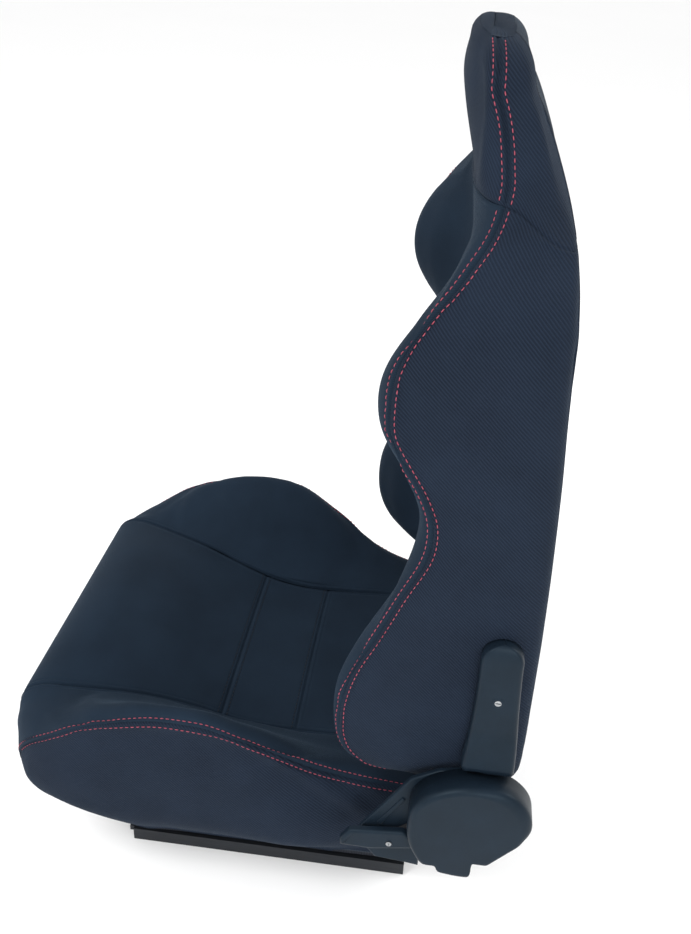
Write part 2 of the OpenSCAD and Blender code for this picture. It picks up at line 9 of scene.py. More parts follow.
import bpy
import numpy as np
from mathutils import Matrix, Vector


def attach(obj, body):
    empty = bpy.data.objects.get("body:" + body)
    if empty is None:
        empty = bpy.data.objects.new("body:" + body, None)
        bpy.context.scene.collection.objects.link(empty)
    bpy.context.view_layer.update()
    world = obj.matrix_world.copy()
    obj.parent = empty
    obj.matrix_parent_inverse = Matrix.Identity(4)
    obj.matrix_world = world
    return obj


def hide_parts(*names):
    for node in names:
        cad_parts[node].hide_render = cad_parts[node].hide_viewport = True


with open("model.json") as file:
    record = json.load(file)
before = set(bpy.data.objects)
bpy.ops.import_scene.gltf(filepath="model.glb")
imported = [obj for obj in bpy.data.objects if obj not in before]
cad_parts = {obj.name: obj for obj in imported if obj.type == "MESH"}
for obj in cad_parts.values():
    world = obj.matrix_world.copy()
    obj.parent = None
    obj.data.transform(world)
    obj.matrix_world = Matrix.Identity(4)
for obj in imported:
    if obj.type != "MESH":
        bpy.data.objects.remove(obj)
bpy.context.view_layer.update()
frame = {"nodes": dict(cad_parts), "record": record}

MM = 0.001
SIDES = {"left": 1, "right": -1}
BOTH_SIDES = tuple(SIDES)

# ---------- curves and grids ----------


def curve(knots, u):
    """Smooth curve through rows of (position, value), flat at its ends."""
    x, y = np.array(knots, float).T
    m = np.zeros_like(y)
    m[1:-1] = (y[2:] - y[:-2]) / (x[2:] - x[:-2])
    u = np.clip(np.asarray(u, float), x[0], x[-1])
    i = np.clip(np.searchsorted(x, u, "right") - 1, 0, len(x) - 2)
    h = x[i + 1] - x[i]
    t = (u - x[i]) / h
    return (y[i] * (2 * t**3 - 3 * t**2 + 1) + h * m[i] * (t**3 - 2 * t**2 + t)
            + y[i + 1] * (3 * t**2 - 2 * t**3) + h * m[i + 1] * (t**3 - t**2))


def spline(points, u):
    """Smooth curve through the rows of points, at the row numbers in u. Other axes go along."""
    p = np.asarray(points, float)
    h = np.linalg.norm(p[1:] - p[:-1], axis=-1, keepdims=True) + 1e-6
    step = (p[1:] - p[:-1]) / h
    m = np.empty_like(p)
    m[1:-1] = (step[1:] * h[:-1] + step[:-1] * h[1:]) / (h[1:] + h[:-1])
    m[0], m[-1] = step[0], step[-1]
    u = np.asarray(u, float)
    i = np.clip(np.floor(u).astype(int), 0, len(p) - 2)
    t = (u - i).reshape((-1,) + (1,) * (p.ndim - 1))
    return (p[i] * (2 * t**3 - 3 * t**2 + 1) + h[i] * m[i] * (t**3 - 2 * t**2 + t)
            + p[i + 1] * (3 * t**2 - 2 * t**3) + h[i] * m[i + 1] * (t**3 - t**2))


SEAM_STEPS = np.array([0, 0.9, 1.9, 3.0, 4.1, 5.2, 6.3, 7.6, 10.0])     # rows beside a seam
STITCH_ROW = 5          # which of those rows carries the top stitching
SEAM_ROOM = 32          # a panel narrower than this has its seam rows closer together
SEAM_DEPTH = 3.0
SEAM_END, SEAM_FADE = 858, 14       # the seams' pull ends at this height on the head
SWELL_END, SWELL_FADE = 850, 20     # and so does the cloth's swell at this one


def distances(g, axis):
    """Distance of each grid point from the start of its row or column, over the surface."""
    d = np.linalg.norm(np.diff(g, axis=axis), axis=2)
    return np.concatenate([np.zeros_like(np.take(d, [0], axis)), np.cumsum(d, axis)], axis)


def resample(g, step, seam_first, seam_last):
    """Samples each row of g at even distances, with close ones beside a seam at either end."""
    s = distances(g, 1)
    n = max(3, int(round(np.median(s[:, -1]) / step)))
    rows = []
    for line, at in zip(g, s):
        room = min(1.0, at[-1] / SEAM_ROOM)
        first = SEAM_STEPS * room if seam_first else np.zeros(1)
        last = SEAM_STEPS * room if seam_last else np.zeros(1)
        inner = np.linspace(first[-1], at[-1] - last[-1], n + 1)[1:-1]
        want = np.concatenate([first, inner, at[-1] - last[::-1]])
        rows.append(np.stack([np.interp(want, at, line[:, k]) for k in range(3)], 1))
    return np.array(rows)


def grid(controls, step, seams):
    """Fine grid over rows of control points. seams says which edges are sewn: first or last
    row ("bottom", "top") and first or last column ("left", "right")."""
    c = np.asarray(controls, float)
    c = spline(c, np.linspace(0, len(c) - 1, 12 * len(c)))
    c = np.swapaxes(spline(np.swapaxes(c, 0, 1), np.linspace(0, c.shape[1] - 1, 16 * c.shape[1])), 0, 1)
    c = resample(c, step, "left" in seams, "right" in seams)
    middle = c[:, c.shape[1] // 2]
    s = np.concatenate([[0], np.cumsum(np.linalg.norm(np.diff(middle, axis=0), axis=1))])
    n = max(3, int(round(s[-1] / step)))
    first = SEAM_STEPS if "bottom" in seams else np.zeros(1)
    last = SEAM_STEPS if "top" in seams else np.zeros(1)
    inner = np.linspace(first[-1], s[-1] - last[-1], n + 1)[1:-1]
    want = np.concatenate([first, inner, s[-1] - last[::-1]])
    rows = np.interp(want, s, np.arange(len(s)))
    i = np.clip(np.floor(rows).astype(int), 0, len(c) - 2)
    t = (rows - i)[:, None, None]
    return c[i] * (1 - t) + c[i + 1] * t


def normals(g):
    """Unit normals. Where the grid closes to a point, each row takes those of the row before."""
    n = np.cross(np.gradient(g, axis=1), np.gradient(g, axis=0))
    size = np.linalg.norm(n, axis=2, keepdims=True)
    closed = size < 0.004 * np.median(size)
    n = n / (size + 1e-9)
    for j in range(1, len(n)):
        n[j] = np.where(closed[j], n[j - 1], n[j])
    return n


def dip(d, depth):
    """How far a seam pulls the fabric in at distance d, with a small dent under the stitching."""
    return (depth * np.exp(-(d / 1.9) ** 2) + 0.26 * depth * np.exp(-((d - 5.2) / 1.0) ** 2)
            - 0.16 * depth * np.exp(-((d - 2.9) / 1.1) ** 2))


def sew(g, seams):
    """Pulls the sewn edges of a grid in, except on the crown of the head where they end."""
    across, along = distances(g, 1), distances(g, 0)
    pull = np.zeros(g.shape[:2])
    edges = {"left": across, "right": across[:, -1:] - across,
             "bottom": along, "top": along[-1:] - along}
    for edge in seams:
        share = 1.0 if edge in ("left", "right") else 0.5
        pull = np.maximum(pull, dip(edges[edge], share * SEAM_DEPTH))
    pull = pull * np.clip((SEAM_END - g[..., 2]) / SEAM_FADE, 0, 1)
    return g - normals(g) * pull[..., None]


def mirrored(g):
    """The same grid on the other side, with its columns turned round so that it faces out."""
    return (g * [-1, 1, 1])[:, ::-1]


def both(half):
    """Rows of control points on the +X side, from the middle outwards, made into whole rows."""
    half = np.asarray(half, float)
    return np.concatenate([(half * [-1, 1, 1])[:, :0:-1], half], axis=1)


# ---------- meshes ----------


def new_object(name, points, faces, material, smooth=True):
    """A mesh object from points in millimetres."""
    mesh = bpy.data.meshes.new(name)
    mesh.from_pydata([tuple(p) for p in np.asarray(points, float) * MM], [], faces)
    mesh.validate()
    mesh.update()
    if smooth:
        mesh.polygons.foreach_set("use_smooth", [True] * len(mesh.polygons))
    ob = bpy.data.objects.new(name, mesh)
    bpy.context.scene.collection.objects.link(ob)
    mesh.materials.append(material)
    return ob


def grid_faces(rows, cols, offset=0, flip=False):
    """Four-sided faces of a grid whose points start at number offset."""
    out = []
    for j in range(rows - 1):
        for i in range(cols - 1):
            a = offset + j * cols + i
            q = (a, a + 1, a + cols + 1, a + cols)
            out.append(q[::-1] if flip else q)
    return out


def weave_on_side(g):
    """Weave coordinates of a side panel: straight over its flat, wrapped round its edges."""
    m = g.shape[1] // 2
    across = distances(g, 1)
    across = across - across[:, m:m + 1]
    way = (g[:, -1, 1:] - g[:, 0, 1:]).mean(0)
    axis = int(np.argmax(np.abs(way)))
    cloth = np.repeat(g[:, m:m + 1, 1:], g.shape[1], 1)
    cloth[..., axis] += math.copysign(1, way[axis]) * across
    cloth[..., 1 - axis] = g[..., 2 - axis]
    return cloth


def weave_over(g):
    """Weave coordinates of any other panel: distances over the cloth, from its middle."""
    u, v = distances(g, 1), distances(g, 0)
    return np.stack([u - u[:, -1:] / 2, v], 2)


def shell(name, g, thickness, material, weave=weave_over):
    """A closed sheet of cloth-covered foam: the grid, a copy under it, and a rim between them."""
    rows, cols = g.shape[:2]
    under = g - normals(g) * thickness
    points = np.concatenate([g.reshape(-1, 3), under.reshape(-1, 3)])
    n = rows * cols
    faces = grid_faces(rows, cols, 0, True) + grid_faces(rows, cols, n)
    rim = ([j * cols for j in range(rows)] + [(rows - 1) * cols + i for i in range(1, cols)]
           + [j * cols + cols - 1 for j in range(rows - 2, -1, -1)] + list(range(cols - 2, 0, -1)))
    for a, b in zip(rim, rim[1:] + rim[:1]):
        faces.append((a, b, b + n, a + n))
    ob = new_object(name, points, faces, material)
    cloth = weave(g).reshape(-1, 2) * MM
    cloth = np.concatenate([cloth, cloth])
    layer = ob.data.uv_layers.new(name="weave")
    corner = np.empty(len(ob.data.loops), int)
    ob.data.loops.foreach_get("vertex_index", corner)
    layer.data.foreach_set("uv", cloth[corner].ravel())
    bulge = ob.modifiers.new("smooth", "SUBSURF")
    bulge.levels = bulge.render_levels = 1
    return ob


CLOTH_FRAMES = 20
CLOTH_PRESSURE = 4.0


def inflate(g, seams, name, cap):
    """Lets the cloth swell between its sewn edges, by at most cap millimetres."""
    rows, cols = g.shape[:2]
    mesh = bpy.data.meshes.new(name)
    mesh.from_pydata([tuple(p) for p in g.reshape(-1, 3) * MM], [], grid_faces(rows, cols, 0, True))
    ob = bpy.data.objects.new(name, mesh)
    bpy.context.scene.collection.objects.link(ob)
    edge = np.zeros((rows, cols), bool)
    edge[0] = edge[-1] = edge[:, 0] = edge[:, -1] = True
    for side, band in (("left", np.s_[:, :3]), ("right", np.s_[:, -3:]),
                       ("bottom", np.s_[:3]), ("top", np.s_[-3:])):
        if side in seams:
            edge[band] = True
    pins = ob.vertex_groups.new(name="pins")
    pins.add([int(i) for i in np.flatnonzero(edge.ravel())], 1.0, "REPLACE")
    cloth = ob.modifiers.new("cloth", "CLOTH")
    settings = cloth.settings
    settings.vertex_group_mass = "pins"
    settings.quality = 5
    settings.mass = 0.3
    settings.tension_stiffness = settings.compression_stiffness = 15
    settings.bending_stiffness = 0.6
    settings.use_pressure = True
    settings.uniform_pressure_force = CLOTH_PRESSURE
    settings.effector_weights.gravity = 0
    cloth.collision_settings.use_collision = False
    cloth.point_cache.frame_start, cloth.point_cache.frame_end = 1, CLOTH_FRAMES
    scene = bpy.context.scene
    for number in range(1, CLOTH_FRAMES + 1):
        scene.frame_set(number)
    swollen = ob.evaluated_get(bpy.context.evaluated_depsgraph_get())
    co = np.empty(rows * cols * 3, np.float32)
    swollen.data.vertices.foreach_get("co", co)
    moved = co.reshape(rows, cols, 3).astype(float) / MM - g
    scene.frame_set(1)
    bpy.data.objects.remove(ob)
    bpy.data.meshes.remove(mesh)
    moved = moved * np.clip((SWELL_END - g[..., 2:]) / SWELL_FADE, 0, 1)
    far = np.linalg.norm(moved, axis=2, keepdims=True)
    return g + moved * (cap * np.tanh(far / cap) / (far + 1e-9))


STITCH_PITCH, STITCH_LENGTH, STITCH_RADIUS = 5.6, 3.6, 0.46
STITCH_SIDES = 6
STITCH_LIFT, STITCH_SINK = 0.75, 1.6        # height of a stitch's middle, and how its ends dip
# Radius along a stitch, as (share of the length, share of the radius).
STITCH_PROFILE = ((0.0, 0.45), (0.18, 1.0), (0.5, 1.1), (0.82, 1.0), (1.0, 0.45))


def along_path(path_at, d, values):
    """values, given at the distances path_at, at distance d."""
    return np.stack([np.interp(d, path_at, values[:, k]) for k in range(3)], -1)


def unit(v):
    return v / (np.linalg.norm(v) + 1e-9)


def stitches(name, lines, material, radius=STITCH_RADIUS):
    """Rows of short thread dashes. Each line is (points, normals)."""
    points, faces = [], []
    for path, up in lines:
        s = np.concatenate([[0], np.cumsum(np.linalg.norm(np.diff(path, axis=0), axis=1))])
        for k in range(int((s[-1] - 4) / STITCH_PITCH)):
            start = 3 + k * STITCH_PITCH
            base = len(points)
            along = unit(along_path(s, start + STITCH_LENGTH, path) - along_path(s, start, path))
            n = unit(along_path(s, start + STITCH_LENGTH / 2, up))
            side = np.cross(along, n)
            for t, r in STITCH_PROFILE:
                lift = STITCH_LIFT - STITCH_SINK * abs(t - 0.5) ** 2
                c = along_path(s, start + t * STITCH_LENGTH, path) + n * lift
                for a in range(STITCH_SIDES):
                    w = 2 * math.pi * a / STITCH_SIDES
                    points.append(c + radius * r * (math.cos(w) * side + 0.8 * math.sin(w) * n))
            for j in range(len(STITCH_PROFILE) - 1):
                for a in range(STITCH_SIDES):
                    b = (a + 1) % STITCH_SIDES
                    p = base + j * STITCH_SIDES
                    faces.append((p + a, p + b, p + STITCH_SIDES + b, p + STITCH_SIDES + a))
            end = base + (len(STITCH_PROFILE) - 1) * STITCH_SIDES
            faces.append(tuple(base + a for a in reversed(range(STITCH_SIDES))))
            faces.append(tuple(end + a for a in range(STITCH_SIDES)))
    return new_object(name, points, faces, material)


# ---------- materials ----------


def material(name):
    """A new material, its nodes, its links and its shader."""
    m = bpy.data.materials.new(name)
    m.use_nodes = True
    return m, m.node_tree.nodes, m.node_tree.links, m.node_tree.nodes["Principled BSDF"]


def maths(nodes, links, operation, *values):
    """A maths node over numbers and sockets."""
    n = nodes.new("ShaderNodeMath")
    n.operation = operation
    for socket, value in zip(n.inputs, values):
        if isinstance(value, (int, float)):
            socket.default_value = value
        else:
            links.new(value, socket)
    return n.outputs[0]


def mix(nodes, links, factor, a, b):
    """The colour between a and b. Each of the three may be a value or a socket."""
    n = nodes.new("ShaderNodeMix")
    n.data_type = "RGBA"
    for socket, value in ((n.inputs["Factor"], factor), (n.inputs["A"], a), (n.inputs["B"], b)):
        if isinstance(value, (tuple, float)):
            socket.default_value = value if isinstance(value, float) else (*value, 1)
        else:
            links.new(value, socket)
    return n.outputs["Result"]


def noise(nodes, links, vector, scale, detail=3.0, roughness=0.6):
    """Soft noise around 0.5."""
    n = nodes.new("ShaderNodeTexNoise")
    n.inputs["Scale"].default_value = scale
    n.inputs["Detail"].default_value = detail
    n.inputs["Roughness"].default_value = roughness
    links.new(vector, n.inputs["Vector"])
    return n.outputs["Fac"]


def ramp(nodes, links, value, low, high):
    """value stretched so that low becomes 0 and high 1."""
    n = nodes.new("ShaderNodeMapRange")
    n.inputs["From Min"].default_value = low
    n.inputs["From Max"].default_value = high
    links.new(value, n.inputs["Value"])
    return n.outputs["Result"]


def bump(nodes, links, bsdf, height, distance):
    """Fine relief, distance metres deep."""
    n = nodes.new("ShaderNodeBump")
    n.inputs["Distance"].default_value = distance
    links.new(height, n.inputs["Height"])
    links.new(n.outputs["Normal"], bsdf.inputs["Normal"])


def object_space(nodes):
    return nodes.new("ShaderNodeTexCoord").outputs["Object"]


def fabric(name, dark, light, pitch, ribs, relief, sheen):
    """Woven cloth over the weave coordinates: diagonal ribs crossed by threads. Under one rib to
    the pitch it is a twill, otherwise a fine knit."""
    m, nodes, links, bsdf = material(name)
    uv = nodes.new("ShaderNodeUVMap")
    uv.uv_map = "weave"
    split = nodes.new("ShaderNodeSeparateXYZ")
    links.new(uv.outputs[0], split.inputs[0])
    u, v = split.outputs[0], split.outputs[1]
    place = object_space(nodes)
    wobble = maths(nodes, links, "MULTIPLY", noise(nodes, links, place, 90, 2.0), 0.0011)
    turn = 2 * math.pi / pitch
    lean = maths(nodes, links, "ADD", maths(nodes, links, "ADD", u, v), wobble)
    cross = maths(nodes, links, "ADD", maths(nodes, links, "SUBTRACT", u, v), wobble)
    rib = maths(nodes, links, "SINE", maths(nodes, links, "MULTIPLY", lean, turn * ribs))
    thread = maths(nodes, links, "SINE", maths(nodes, links, "MULTIPLY", cross, turn * 1.6))
    weave = maths(nodes, links, "MULTIPLY_ADD", rib, 0.36 if ribs < 1 else 0.25, 0.5)
    weave = maths(nodes, links, "ADD", weave, maths(nodes, links, "MULTIPLY", thread, 0.16))
    fuzz = noise(nodes, links, place, 1500, 4.0, 0.7)
    patch = noise(nodes, links, place, 14, 3.0)
    height = maths(nodes, links, "ADD", weave, maths(nodes, links, "MULTIPLY", fuzz, 0.5))
    worn = ramp(nodes, links, patch, 0.35, 0.75)
    tone = maths(nodes, links, "MULTIPLY_ADD", weave, 0.62, maths(nodes, links, "MULTIPLY", fuzz, 0.45))
    colour = mix(nodes, links, ramp(nodes, links, tone, 0.15, 0.95), dark, light)
    colour = mix(nodes, links, maths(nodes, links, "MULTIPLY", worn, 0.22), colour,
                 tuple(1.5 * c for c in light))
    links.new(colour, bsdf.inputs["Base Color"])
    links.new(maths(nodes, links, "MULTIPLY_ADD", fuzz, 0.2, 0.76), bsdf.inputs["Roughness"])
    bsdf.inputs["Specular IOR Level"].default_value = 0.12
    bsdf.inputs["Sheen Weight"].default_value = sheen
    bsdf.inputs["Sheen Roughness"].default_value = 0.3
    bsdf.inputs["Sheen Tint"].default_value = (0.45, 0.7, 1.0, 1)
    bump(nodes, links, bsdf, height, relief)
    return m


def thread_material(name, dark, light, highlight):
    """Twisted sewing thread."""
    m, nodes, links, bsdf = material(name)
    place = object_space(nodes)
    ply = nodes.new("ShaderNodeTexWave")
    ply.inputs["Scale"].default_value = 700
    ply.inputs["Distortion"].default_value = 2.0
    links.new(place, ply.inputs["Vector"])
    shade = noise(nodes, links, place, 260, 2.0)
    colour = mix(nodes, links, shade, dark, light)
    colour = mix(nodes, links, maths(nodes, links, "MULTIPLY", ply.outputs["Fac"], 0.35), colour,
                 highlight)
    links.new(colour, bsdf.inputs["Base Color"])
    bsdf.inputs["Roughness"].default_value = 0.6
    bsdf.inputs["Specular IOR Level"].default_value = 0.2
    bump(nodes, links, bsdf, ply.outputs["Fac"], 0.0002)
    return m


def plastic(name, tone, rough, grain):
    """Moulded plastic: a fine spark-eroded grain, with soft smudges that change its gloss."""
    m, nodes, links, bsdf = material(name)
    place = object_space(nodes)
    fine = noise(nodes, links, place, 1100, 3.0, 0.65)
    smudge = noise(nodes, links, place, 22, 4.0, 0.65)
    colour = mix(nodes, links, ramp(nodes, links, smudge, 0.3, 0.75),
                 tuple(0.82 * c for c in tone), tuple(1.25 * c for c in tone))
    dust = maths(nodes, links, "MULTIPLY", ramp(nodes, links, fine, 0.62, 0.8), 0.12)
    colour = mix(nodes, links, dust, colour, (0.04, 0.055, 0.07))
    links.new(colour, bsdf.inputs["Base Color"])
    links.new(maths(nodes, links, "MULTIPLY_ADD", smudge, 0.16, rough), bsdf.inputs["Roughness"])
    bsdf.inputs["Specular IOR Level"].default_value = 0.14
    bsdf.inputs["Specular Tint"].default_value = (0.66, 0.86, 1.0, 1)
    bump(nodes, links, bsdf, fine, grain)
    return m


def metal(name, tone, rough, metallic, brushed=(1, 1, 1), rust=0.0):
    """Metal with fine scratches along one way, darker grime in patches, and spots of rust."""
    m, nodes, links, bsdf = material(name)
    place = object_space(nodes)
    stretch = nodes.new("ShaderNodeMapping")
    stretch.inputs["Scale"].default_value = brushed
    links.new(place, stretch.inputs["Vector"])
    scratch = noise(nodes, links, stretch.outputs[0], 420, 4.0, 0.7)
    grime = noise(nodes, links, place, 30, 5.0, 0.65)
    colour = mix(nodes, links, ramp(nodes, links, scratch, 0.3, 0.7),
                 tuple(0.75 * c for c in tone), tuple(min(1.0, 1.25 * c) for c in tone))
    colour = mix(nodes, links, maths(nodes, links, "MULTIPLY", ramp(nodes, links, grime, 0.5, 0.8), 0.5),
                 colour, tuple(0.4 * c for c in tone))
    if rust:
        spots = ramp(nodes, links, noise(nodes, links, place, 160, 3.0), 0.66, 0.74)
        colour = mix(nodes, links, maths(nodes, links, "MULTIPLY", spots, rust), colour,
                     (0.12, 0.05, 0.02))
    links.new(colour, bsdf.inputs["Base Color"])
    links.new(maths(nodes, links, "MULTIPLY_ADD", scratch, 0.25, rough), bsdf.inputs["Roughness"])
    bsdf.inputs["Metallic"].default_value = metallic
    bump(nodes, links, bsdf, scratch, 0.00012)
    return m


KNIT = fabric("seat_knit_cloth", (0.003, 0.007, 0.014), (0.011, 0.022, 0.038), 0.0016, 1.0, 0.00018, 0.07)
TWILL = fabric("side_twill_cloth", (0.002, 0.0045, 0.010), (0.012, 0.020, 0.036), 0.0021, 0.62, 0.00035, 0.04)
REAR = fabric("rear_cloth", (0.006, 0.007, 0.010), (0.018, 0.021, 0.028), 0.0022, 0.8, 0.0003, 0.08)
THREAD = thread_material("red_thread", (0.20, 0.02, 0.045), (0.36, 0.06, 0.09), (0.42, 0.15, 0.19))
DARK_THREAD = thread_material("dark_thread", (0.004, 0.005, 0.007), (0.012, 0.014, 0.02),
                              (0.03, 0.035, 0.045))
PLASTIC = plastic("black_moulded_plastic", (0.006, 0.011, 0.018), 0.34, 0.00008)
SCREW = metal("screw_steel", (0.34, 0.35, 0.36), 0.25, 1.0)
SPRING = metal("spring_wire_steel", (0.16, 0.15, 0.14), 0.35, 1.0, rust=0.35)
ZINC = metal("zinc_plated_steel", (0.5, 0.5, 0.47), 0.3, 1.0, rust=0.15)
RAIL = metal("rail_steel_dark", (0.020, 0.023, 0.028), 0.34, 0.6, brushed=(1, 0.04, 1), rust=0.1)
FRAME = metal("frame_black_paint", (0.012, 0.012, 0.014), 0.42, 0.1, rust=0.2)

# ---------- backrest ----------

# Outlines by height: middle, bolster crest, side, rear, and the piping line round the side.
BACK_MID = [(158, 178), (175, 166), (200, 157), (230, 150), (300, 146), (380, 148), (480, 156), (600, 164),
            (680, 160), (740, 149), (781, 137), (805, 131), (830, 128), (846, 128)]
BACK_CREST = [(188, 165), (194, 142), (202, 112), (217, 88), (240, 74), (262, 69), (285, 68), (310, 71),
              (350, 85), (400, 110), (440, 127), (470, 134), (495, 134), (520, 125), (545, 107), (570, 93.5),
              (600, 89), (630, 96), (665, 117.5), (700, 144), (730, 158), (760, 151), (800, 146), (846, 145)]
BACK_SIDE = [(188, 212), (196, 226), (206, 236), (220, 242), (245, 245), (600, 245), (650, 242), (685, 226),
             (715, 196), (740, 167), (765, 148), (790, 137), (830, 122), (846, 118)]
BACK_REAR = [(188, 240), (200, 247), (220, 253), (350, 254), (433, 252), (531, 247.5), (603, 243),
             (660, 241.5), (700, 238), (734, 231), (777, 214), (800, 203), (823, 190), (846, 178)]
BACK_PIPING = [(188, 172), (193, 148), (200, 124), (210, 104), (222, 90), (238, 81), (257, 77), (294, 78),
               (332, 88), (370, 106), (417, 125), (451, 141), (471, 146), (496, 145), (519, 136), (550, 118),
               (573, 105), (600, 103), (625, 105), (643, 111), (665, 125), (683, 139), (702, 154), (724, 169),
               (749, 177), (766, 176), (787, 172.5), (804, 167.5), (821, 161.5), (846, 153.5)]
INNER_X = 130           # inner seam of the bolsters
BACK_LOW = 193          # lower end of the bolsters and side panels
HEAD_SEAM = 742         # seam between the torso and the head
HEAD_BLEND = (700, 55)  # the outline turns from torso to head above this height, over this much
DOME_Z = 820            # the head's rounded top starts here,
DOME_SPAN = 30          # takes this many levels,
DOME_RISE = 41          # rises this far, and closes on a short line
DOME_Y = 155            # across the head at this depth,
DOME_WIDTH = 0.38       # as wide as this share of the head
PIPING, REAR_SEAM, REAR_MIDDLE = 7, 12, 13      # columns of the half outline


def lerp(a, b, t):
    return a + (b - a) * t


def half_outline(z):
    """Fourteen points of the backrest's half outline at height z, from the front middle round
    to the rear middle. Below the head seam it is a torso, above it a head."""
    m, c = float(curve(BACK_MID, z)), float(curve(BACK_CREST, z))
    s, r = float(curve(BACK_SIDE, z)), float(curve(BACK_REAR, z))
    p = float(curve(BACK_PIPING, z))
    x, d = INNER_X, r - p
    cx, px = max(s - 24, x + 12), s - 5
    torso = [(0, m + 4), (x / 2, m + 3), (x, m), (lerp(x, cx, 0.32), lerp(m, c, 0.24)),
             (lerp(x, cx, 0.68), lerp(m, c, 0.78)), (cx, c), (lerp(cx, px, 0.62), lerp(c, p, 0.3)),
             (px, p), (s, p + 0.14 * d), (s + 1.5, p + 0.5 * d), (s, r - 18), (s - 7, r - 4),
             (s - 24, r), (0, r + 2)]
    k = r - c
    px = s - 1
    head = [(0, m), (0.28 * s, lerp(m, c, 0.05)), (0.52 * s, lerp(m, c, 0.2)),
            (0.66 * s, lerp(m, c, 0.46)), (0.8 * s, lerp(m, c, 0.9)), (0.89 * s, c + 0.05 * k),
            (0.96 * s, c + 0.15 * k), (px, p), (s, p + 0.24 * d), (s - 1, p + 0.5 * d),
            (0.965 * s, p + 0.8 * d), (0.9 * s, r - 0.06 * k), (0.72 * s, r), (0, r + 1)]
    t = min(max((z - HEAD_BLEND[0]) / HEAD_BLEND[1], 0), 1)
    t = t * t * (3 - 2 * t)
    return lerp(np.array(torso, float), np.array(head, float), t)


def back_point(level, column):
    """A point of the backrest's half outline. Levels above DOME_Z run over the rounded top."""
    if level <= DOME_Z:
        x, y = half_outline(level)[column]
        return x, y, level
    x, y = half_outline(DOME_Z)[column]
    turn = min((level - DOME_Z) / DOME_SPAN, 1) * math.pi / 2
    keep = math.cos(turn) ** 0.9 if turn < math.pi / 2 else 0.0
    core_x = DOME_WIDTH * x
    return (core_x + keep * (x - core_x), DOME_Y + keep * (y - DOME_Y),
            DOME_Z + (DOME_RISE - 5 * (core_x / 45) ** 2) * math.sin(turn))


# Levels of the rounded top: on the sewn head panels, and on the crown that closes it.
TOP_LEVELS = [DOME_Z + a for a in (4, 8, 12, 16, 19, 22)]
CROWN_LEVELS = [DOME_Z + a for a in (21.5, 23, 25, 27, 28.5, 29.5, 30)]


def seam_drop(column):
    """The head seam falls towards the rear along the side."""
    return {8: -3, 9: -12, 10: -21, 11: -25, 12: -25, 13: -25}.get(column, 0)


def back_rows(heights, columns):
    """Control rows. Those near the head seam follow its fall along the side."""
    rows = []
    for level in heights:
        near = math.exp(-((level - HEAD_SEAM) / 45) ** 2)
        rows.append([back_point(level + near * seam_drop(c), c) for c in columns])
    return np.array(rows, float)


def levels(low, high):
    """Even levels from low to high, about 12 apart."""
    return list(np.linspace(low, high, int(round((high - low) / 12)) + 1))


def edge_line(g, side):
    """The stitching row beside one edge of a sewn grid, with its normals."""
    pick = {"left": np.s_[:, STITCH_ROW], "right": np.s_[:, -1 - STITCH_ROW],
            "bottom": np.s_[STITCH_ROW], "top": np.s_[-1 - STITCH_ROW]}[side]
    return g[pick], normals(g)[pick]


STEP = 7.0          # usual width of a mesh face on a panel
FOAM = 6.0          # thickness of the cloth and the foam laminated to it


def panel(name, controls, seams, cloth, body, nodes, cap, step=STEP, sides=("",), weave=weave_over):
    """Makes one sewn panel that swells by at most cap, and its mirror image where sides names
    both. Returns the sewn grid."""
    g = grid(controls, step, seams)
    g = sew(inflate(g, seams, name, cap), seams)
    for side in sides:
        label = name + ("_" + side if side else "")
        ob = shell(label, mirrored(g) if side == "right" else g, FOAM, cloth, weave)
        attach(ob, body)
        if nodes:
            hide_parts(*[n + ("_" + side if side and n.endswith("bolster") else "") for n in nodes])
    return g


def thread_rows(name, rows, body):
    """Red top stitching on both sides of the seat, from rows on the +X side."""
    for side, sign in SIDES.items():
        flip = np.array([sign, 1, 1])
        ob = stitches(f"{name}_{side}", [(p * flip, n * flip) for p, n in rows], THREAD)
        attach(ob, body)


# Profile of the middle panel's tail, from its rear edge up to its front, in y and z.
BACK_TAIL = [(248, 212), (232, 200), (212, 193), (199, 184), (197, 166), (188, 159)]


def build_back_middle():
    """Middle panels of the backrest, with a sewn band between them."""
    tail = [[(x, y, z) for x in (0, INNER_X / 2, INNER_X)] for y, z in BACK_TAIL]
    lower = np.concatenate([tail, back_rows(levels(166, 395), range(3))])
    for name, rows, seams in (
            ("back_centre_lower", lower, {"left", "right", "top"}),
            ("back_centre_band", back_rows(levels(395, 480), range(3)), {"left", "right", "top", "bottom"}),
            ("back_centre_upper", back_rows(levels(480, HEAD_SEAM), range(3)),
             {"left", "right", "top", "bottom"})):
        panel(name, both(rows), seams, KNIT, "backrest", ["back_centre_pad"], cap=6.0)


def build_back_rear():
    """Rear covering of the torso and of the head."""
    rear_columns = range(REAR_SEAM, REAR_MIDDLE + 1)
    torso = back_rows(levels(212, HEAD_SEAM), rear_columns)[:, ::-1]
    panel("back_rear_cover", both(torso)[:, ::-1], {"left", "right", "top"}, REAR,
          "backrest", ["back_rear_panel"], cap=3.0, step=9.0)
    head = back_rows(levels(HEAD_SEAM, DOME_Z) + TOP_LEVELS, rear_columns)[:, ::-1]
    panel("head_rear_cover", both(head)[:, ::-1], {"left", "right", "bottom"}, REAR,
          "backrest", [], cap=3.0)


def build_back_underside():
    """Closes the bottom of each bolster."""
    ring = back_rows([BACK_LOW], range(2, REAR_SEAM + 1))[0]
    rear = np.array([[x, 246, 200] for x in np.linspace(INNER_X, 228, len(ring))])
    rows = [lerp(ring, rear, t) + [0, 0, -7 * math.sin(math.pi * t)] for t in (0, 0.3, 0.65, 1)]
    panel("back_bolster_underside", np.array(rows)[::-1], set(), REAR, "backrest", [],
          cap=2.0, step=9.0, sides=BOTH_SIDES)


